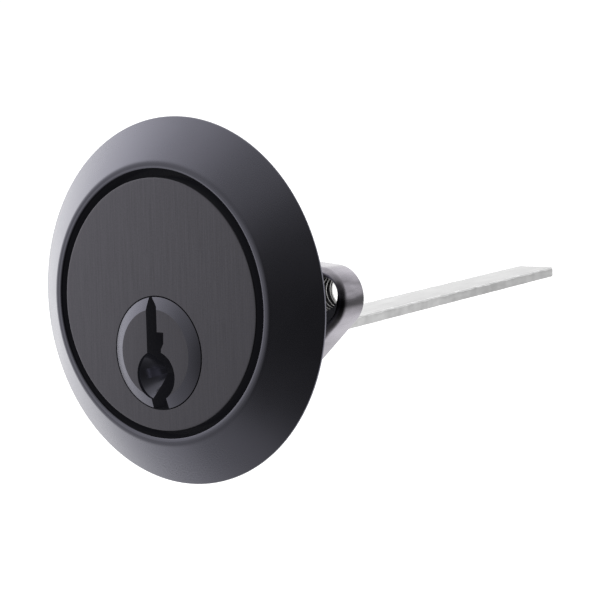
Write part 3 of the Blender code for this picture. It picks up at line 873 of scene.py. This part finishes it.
def make_springs():
    """Round wire coils with closed end turns, each sized to its spring's box."""
    turns = 6
    per_turn = 28
    around = 8
    closed = 1.0 / turns
    steps = turns * per_turn
    wire = SPRING_WIRE * MM
    for number in range(1, PIN_COUNT + 1):
        node = f"pin_spring_{number}"
        low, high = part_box(node)
        middle = (low + high) / 2
        coil = (high.x - low.x) / 2 - wire
        height = high.z - low.z - 2 * wire
        end_rise = 2.3 * wire / height
        path = []
        for k in range(steps + 1):
            share = k / steps
            inner = min(max((share - closed) / (1 - 2 * closed), 0.0), 1.0)
            ends = min(share, closed) / closed + max(share - 1 + closed, 0.0) / closed
            rise = (end_rise * ends + (1 - 2 * end_rise) * inner) * height
            a = 2 * math.pi * turns * share
            path.append(Vector((coil * math.cos(a), coil * math.sin(a), rise)))
        foot = Vector((middle.x, middle.y, low.z + wire))
        bm = bmesh.new()
        rings = []
        for k, centre in enumerate(path):
            along = path[min(k + 1, steps)] - path[max(k - 1, 0)]
            outward = Vector((centre.x, centre.y, 0.0)).normalized()
            upward = outward.cross(along).normalized()
            rings.append([bm.verts.new(foot + centre + (outward * math.cos(b) + upward * math.sin(b)) * wire)
                          for b in (2 * math.pi * i / around for i in range(around))])
        for near, far in zip(rings, rings[1:]):
            for i in range(around):
                j = (i + 1) % around
                bm.faces.new([near[i], near[j], far[j], far[i]])
        bm.faces.new(rings[0])
        bm.faces.new(rings[-1])
        spring = to_object(f"spring_coil_{number}", bm, SPRING_STEEL, "housing", [node])
        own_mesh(spring)


def finish_small_parts():
    """Turned, cast and drawn finishes on the small pieces, which keep their own shapes."""
    finishes = {"key_pin": (BRASS, "brass"), "driver_pin": (NICKEL_SILVER, "nickel_silver"),
                "chamber_cover": (BRASS, "brass"),
                "tail_retainer": (STEEL, "steel"), "tail_screw": (STEEL, "steel")}
    for name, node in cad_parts.items():
        for start, (metal, slot) in finishes.items():
            if name.startswith(start):
                node.data.materials.clear()
                node.data.materials.append(metal)


finish_small_parts()
make_plug()
make_tail()
make_rose()
make_head()
make_core()
make_flange()
make_springs()


# ---------------------------------------------------------------- light, floor and camera

STUDIO_LEVEL = 2.6
BACKDROP_LEVEL = 1.05


def make_world():
    """Soft studio surroundings: bright behind and to the left, dim in front, plain white seen directly."""
    world = bpy.data.worlds.new("studio")
    bpy.context.scene.world = world
    world.use_nodes = True
    tree = world.node_tree
    tree.nodes.clear()

    def add(kind, **settings):
        node = tree.nodes.new(kind)
        for key, value in settings.items():
            setattr(node, key, value)
        return node

    def level(number, stops):
        shift = add("ShaderNodeMapRange")
        shift.inputs["From Min"].default_value = -1.0
        tree.links.new(number, shift.inputs["Value"])
        ramp = add("ShaderNodeValToRGB")
        tree.links.new(shift.outputs["Result"], ramp.inputs["Fac"])
        while len(ramp.color_ramp.elements) < len(stops):
            ramp.color_ramp.elements.new(0.5)
        for element, (position, value) in zip(ramp.color_ramp.elements, stops):
            element.position = (position + 1) / 2
            element.color = (value, value, value, 1.0)
        return ramp.outputs["Color"]

    coords = add("ShaderNodeTexCoord")

    def facing(direction):
        """How squarely a direction faces the given one, from -1 to 1."""
        dot = add("ShaderNodeVectorMath", operation="DOT_PRODUCT")
        dot.inputs[1].default_value = Vector(direction).normalized()
        tree.links.new(coords.outputs["Generated"], dot.inputs[0])
        return dot.outputs["Value"]

    window_fall = [(-1.0, 0.01), (-0.65, 0.036), (-0.5, 0.06), (-0.3, 0.135), (0.0, 0.17), (0.3, 0.28),
                   (0.6, 0.4), (0.75, 0.52), (0.85, 0.62), (1.0, 0.74)]
    card_fall = [(-1.0, 0.0), (0.6, 0.0), (0.85, 0.27), (1.0, 0.36)]
    window = level(facing((-0.91, 0.36, 0.21)), window_fall)
    card = level(facing((0.54, 0.78, -0.28)), card_fall)
    both = add("ShaderNodeVectorMath", operation="ADD")
    tree.links.new(window, both.inputs[0])
    tree.links.new(card, both.inputs[1])
    surround = add("ShaderNodeBackground")
    tree.links.new(both.outputs["Vector"], surround.inputs["Color"])
    surround.inputs["Strength"].default_value = STUDIO_LEVEL
    seen = add("ShaderNodeBackground")
    seen.inputs["Color"].default_value = (1.0, 1.0, 1.0, 1.0)
    seen.inputs["Strength"].default_value = BACKDROP_LEVEL
    path = add("ShaderNodeLightPath")
    mix = add("ShaderNodeMixShader")
    tree.links.new(path.outputs["Is Camera Ray"], mix.inputs["Fac"])
    tree.links.new(surround.outputs["Background"], mix.inputs[1])
    tree.links.new(seen.outputs["Background"], mix.inputs[2])
    out = add("ShaderNodeOutputWorld")
    tree.links.new(mix.outputs["Shader"], out.inputs["Surface"])


def make_camera():
    """A long lens in front, to the lock's right and a little above it, rolled a touch."""
    azimuth, elevation, roll = (math.radians(v) for v in (38.81, 6.12, -1.5))
    back = Vector((math.sin(azimuth) * math.cos(elevation), -math.cos(azimuth) * math.cos(elevation),
                   math.sin(elevation)))
    right = Vector((math.cos(azimuth), math.sin(azimuth), 0))
    up = back.cross(right)
    side = right * math.cos(roll) + up * math.sin(roll)
    top = up * math.cos(roll) - right * math.sin(roll)
    data = bpy.data.cameras.new("camera")
    data.lens = 138
    data.sensor_width = 36
    data.clip_start = 0.01
    camera = bpy.data.objects.new("camera", data)
    distance = 279.9
    aside = 17.43
    above = 0.57
    where = (back * distance + side * aside + top * above + Vector((0, FACE_Y, 0))) * MM
    turn = Matrix((side, top, back)).transposed().to_4x4()
    camera.matrix_world = Matrix.Translation(where) @ turn
    bpy.context.scene.collection.objects.link(camera)
    bpy.context.scene.camera = camera


def make_floor():
    """A plain pale floor well below the lock, lit so evenly that it meets the surroundings without a line."""
    n = Nodes("pale_floor")
    n.value("Base Color", (0.95, 0.95, 0.95, 1.0))
    n.value("Roughness", 0.9)
    n.value("Emission Color", (1.0, 1.0, 1.0, 1.0))
    n.value("Emission Strength", 0.6)
    bm = bmesh.new()
    half_width = 3.0
    floor_height = -0.075
    corners = [(-half_width, -half_width), (half_width, -half_width), (half_width, half_width),
               (-half_width, half_width)]
    bm.faces.new([bm.verts.new((x, y, floor_height)) for x, y in corners])
    floor = to_object("floor", bm, n.material, None)
    floor.visible_glossy = False
    floor.visible_diffuse = False


make_floor()
make_world()
make_camera()

bpy.context.scene.view_settings.view_transform = "Standard"
